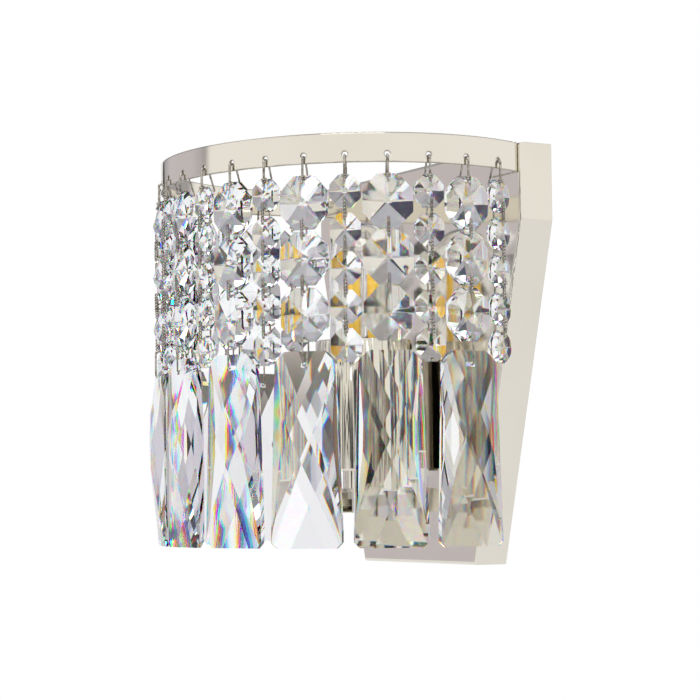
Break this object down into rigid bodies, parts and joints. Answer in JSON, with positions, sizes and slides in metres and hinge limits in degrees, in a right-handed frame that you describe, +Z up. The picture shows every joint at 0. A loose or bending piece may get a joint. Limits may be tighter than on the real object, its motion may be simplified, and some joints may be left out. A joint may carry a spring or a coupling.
{
  "type": "crystal wall sconce",
  "caption": "Half-round wall light with a tapered backplate, a bent band and hanging strands of faceted crystals around a lamp.",
  "frame": {"origin": "on the wall, midway between the slots of the crossbar, at the backplate's mid-height", "axes": "+X to the right of someone who faces the wall, +Y into the wall, +Z up"},
  "size_m": [0.201, 0.1414, 0.184],
  "materials": {
    "polished_nickel": "polished nickel plate",
    "plated_steel": "zinc-plated steel",
    "crystal": "clear cut crystal",
    "wire": "bright nickel wire",
    "porcelain": "glazed porcelain",
    "lamp_cap": "bare aluminium",
    "lamp_glass": "clear glass",
    "filament_phosphor": "yellow phosphor coat"
  },
  "bodies": {
    "fixture": {"backplate_cover": "polished_nickel", "wall_crossbar": "plated_steel", "cover_screws": "polished_nickel", "crystal_band": "polished_nickel", "band_rivets": "polished_nickel", "lamp_arm": "polished_nickel", "socket_cup": "polished_nickel", "cup_nipple": "plated_steel", "nipple_nut": "plated_steel", "lampholder": "porcelain"},
    "strand_01": {"strand_01_octagons": "crystal", "strand_01_clips": "wire"},
    "strand_02": {"strand_02_octagons": "crystal", "strand_02_clips": "wire"},
    "pendant_02": {"strand_02_pendant": "crystal"},
    "strand_03": {"strand_03_octagons": "crystal", "strand_03_clips": "wire"},
    "strand_04": {"strand_04_octagons": "crystal", "strand_04_clips": "wire"},
    "pendant_04": {"strand_04_pendant": "crystal"},
    "strand_05": {"strand_05_octagons": "crystal", "strand_05_clips": "wire"},
    "strand_06": {"strand_06_octagons": "crystal", "strand_06_clips": "wire"},
    "pendant_06": {"strand_06_pendant": "crystal"},
    "strand_07": {"strand_07_octagons": "crystal", "strand_07_clips": "wire"},
    "strand_08": {"strand_08_octagons": "crystal", "strand_08_clips": "wire"},
    "pendant_08": {"strand_08_pendant": "crystal"},
    "strand_09": {"strand_09_octagons": "crystal", "strand_09_clips": "wire"},
    "strand_10": {"strand_10_octagons": "crystal", "strand_10_clips": "wire"},
    "pendant_10": {"strand_10_pendant": "crystal"},
    "strand_11": {"strand_11_octagons": "crystal", "strand_11_clips": "wire"},
    "strand_12": {"strand_12_octagons": "crystal", "strand_12_clips": "wire"},
    "pendant_12": {"strand_12_pendant": "crystal"},
    "strand_13": {"strand_13_octagons": "crystal", "strand_13_clips": "wire"},
    "strand_14": {"strand_14_octagons": "crystal", "strand_14_clips": "wire"},
    "pendant_14": {"strand_14_pendant": "crystal"},
    "strand_15": {"strand_15_octagons": "crystal", "strand_15_clips": "wire"},
    "strand_16": {"strand_16_octagons": "crystal", "strand_16_clips": "wire"},
    "pendant_16": {"strand_16_pendant": "crystal"},
    "strand_17": {"strand_17_octagons": "crystal", "strand_17_clips": "wire"},
    "strand_18": {"strand_18_octagons": "crystal", "strand_18_clips": "wire"},
    "pendant_18": {"strand_18_pendant": "crystal"},
    "strand_19": {"strand_19_octagons": "crystal", "strand_19_clips": "wire"},
    "lamp": {"lamp_base": "lamp_cap", "lamp_envelope": "lamp_glass", "lamp_filaments": "filament_phosphor"}
  },
  "joints": [
    {"name": "strand_01_swing", "type": "hinge", "parent": "fixture", "child": "strand_01", "pos_m": [-0.09169, -0.03028, 0.0821], "axis": [0.2501, 0.9682, 0], "range_deg": [-1.2, 15]},
    {"name": "strand_02_swing", "type": "hinge", "parent": "fixture", "child": "strand_02", "pos_m": [-0.09417, -0.04794, 0.0821], "axis": [0.0261, 0.9997, 0], "range_deg": [-1.2, 15]},
    {"name": "pendant_02_swing", "type": "hinge", "parent": "strand_02", "child": "pendant_02", "pos_m": [-0.09417, -0.04794, -0.006], "axis": [0.0261, 0.9997, 0], "range_deg": [-3, 8]},
    {"name": "strand_03_swing", "type": "hinge", "parent": "fixture", "child": "strand_03", "pos_m": [-0.09262, -0.0657, 0.0821], "axis": [-0.1992, 0.98, 0], "range_deg": [-1.2, 15]},
    {"name": "strand_04_swing", "type": "hinge", "parent": "fixture", "child": "strand_04", "pos_m": [-0.08711, -0.08267, 0.0821], "axis": [-0.4143, 0.9101, 0], "range_deg": [-1.2, 15]},
    {"name": "pendant_04_swing", "type": "hinge", "parent": "strand_04", "child": "pendant_04", "pos_m": [-0.08711, -0.08267, -0.006], "axis": [-0.4143, 0.9101, 0], "range_deg": [-3, 8]},
    {"name": "strand_05_swing", "type": "hinge", "parent": "fixture", "child": "strand_05", "pos_m": [-0.07794, -0.09795, 0.0821], "axis": [-0.6083, 0.7937, 0], "range_deg": [-1.2, 15]},
    {"name": "strand_06_swing", "type": "hinge", "parent": "fixture", "child": "strand_06", "pos_m": [-0.06561, -0.11085, 0.0821], "axis": [-0.7578, 0.6524, 0], "range_deg": [-1.2, 15]},
    {"name": "pendant_06_swing", "type": "hinge", "parent": "strand_06", "child": "pendant_06", "pos_m": [-0.06561, -0.11085, -0.006], "axis": [-0.7578, 0.6524, 0], "range_deg": [-3, 8]},
    {"name": "strand_07_swing", "type": "hinge", "parent": "fixture", "child": "strand_07", "pos_m": [-0.05111, -0.12125, 0.0821], "axis": [-0.8612, 0.5082, 0], "range_deg": [-1.2, 15]},
    {"name": "strand_08_swing", "type": "hinge", "parent": "fixture", "child": "strand_08", "pos_m": [-0.03499, -0.12892, 0.0821], "axis": [-0.9375, 0.348, 0], "range_deg": [-1.2, 15]},
    {"name": "pendant_08_swing", "type": "hinge", "parent": "strand_08", "child": "pendant_08", "pos_m": [-0.03499, -0.12892, -0.006], "axis": [-0.9375, 0.348, 0], "range_deg": [-3, 8]},
    {"name": "strand_09_swing", "type": "hinge", "parent": "fixture", "child": "strand_09", "pos_m": [-0.01778, -0.13362, 0.0821], "axis": [-0.9843, 0.1768, 0], "range_deg": [-1.2, 15]},
    {"name": "strand_10_swing", "type": "hinge", "parent": "fixture", "child": "strand_10", "pos_m": [0, -0.1352, 0.0821], "axis": [-1, 0, 0], "range_deg": [-1.2, 15]},
    {"name": "pendant_10_swing", "type": "hinge", "parent": "strand_10", "child": "pendant_10", "pos_m": [0, -0.1352, -0.006], "axis": [-1, 0, 0], "range_deg": [-3, 8]},
    {"name": "strand_11_swing", "type": "hinge", "parent": "fixture", "child": "strand_11", "pos_m": [0.01778, -0.13362, 0.0821], "axis": [-0.9843, -0.1768, 0], "range_deg": [-1.2, 15]},
    {"name": "strand_12_swing", "type": "hinge", "parent": "fixture", "child": "strand_12", "pos_m": [0.03499, -0.12892, 0.0821], "axis": [-0.9375, -0.348, 0], "range_deg": [-1.2, 15]},
    {"name": "pendant_12_swing", "type": "hinge", "parent": "strand_12", "child": "pendant_12", "pos_m": [0.03499, -0.12892, -0.006], "axis": [-0.9375, -0.348, 0], "range_deg": [-3, 8]},
    {"name": "strand_13_swing", "type": "hinge", "parent": "fixture", "child": "strand_13", "pos_m": [0.05111, -0.12125, 0.0821], "axis": [-0.8612, -0.5082, 0], "range_deg": [-1.2, 15]},
    {"name": "strand_14_swing", "type": "hinge", "parent": "fixture", "child": "strand_14", "pos_m": [0.06561, -0.11085, 0.0821], "axis": [-0.7578, -0.6524, 0], "range_deg": [-1.2, 15]},
    {"name": "pendant_14_swing", "type": "hinge", "parent": "strand_14", "child": "pendant_14", "pos_m": [0.06561, -0.11085, -0.006], "axis": [-0.7578, -0.6524, 0], "range_deg": [-3, 8]},
    {"name": "strand_15_swing", "type": "hinge", "parent": "fixture", "child": "strand_15", "pos_m": [0.07794, -0.09795, 0.0821], "axis": [-0.6083, -0.7937, 0], "range_deg": [-1.2, 15]},
    {"name": "strand_16_swing", "type": "hinge", "parent": "fixture", "child": "strand_16", "pos_m": [0.08711, -0.08267, 0.0821], "axis": [-0.4143, -0.9101, 0], "range_deg": [-1.2, 15]},
    {"name": "pendant_16_swing", "type": "hinge", "parent": "strand_16", "child": "pendant_16", "pos_m": [0.08711, -0.08267, -0.006], "axis": [-0.4143, -0.9101, 0], "range_deg": [-3, 8]},
    {"name": "strand_17_swing", "type": "hinge", "parent": "fixture", "child": "strand_17", "pos_m": [0.09262, -0.0657, 0.0821], "axis": [-0.1992, -0.98, 0], "range_deg": [-1.2, 15]},
    {"name": "strand_18_swing", "type": "hinge", "parent": "fixture", "child": "strand_18", "pos_m": [0.09417, -0.04794, 0.0821], "axis": [0.0261, -0.9997, 0], "range_deg": [-1.2, 15]},
    {"name": "pendant_18_swing", "type": "hinge", "parent": "strand_18", "child": "pendant_18", "pos_m": [0.09417, -0.04794, -0.006], "axis": [0.0261, -0.9997, 0], "range_deg": [-3, 8]},
    {"name": "strand_19_swing", "type": "hinge", "parent": "fixture", "child": "strand_19", "pos_m": [0.09169, -0.03028, 0.0821], "axis": [0.2501, -0.9682, 0], "range_deg": [-1.2, 15]},
    {"name": "lamp_removal", "type": "slide", "parent": "fixture", "child": "lamp", "axis": [0, 0, 1], "range_m": [0, 0.03]}
  ]
}
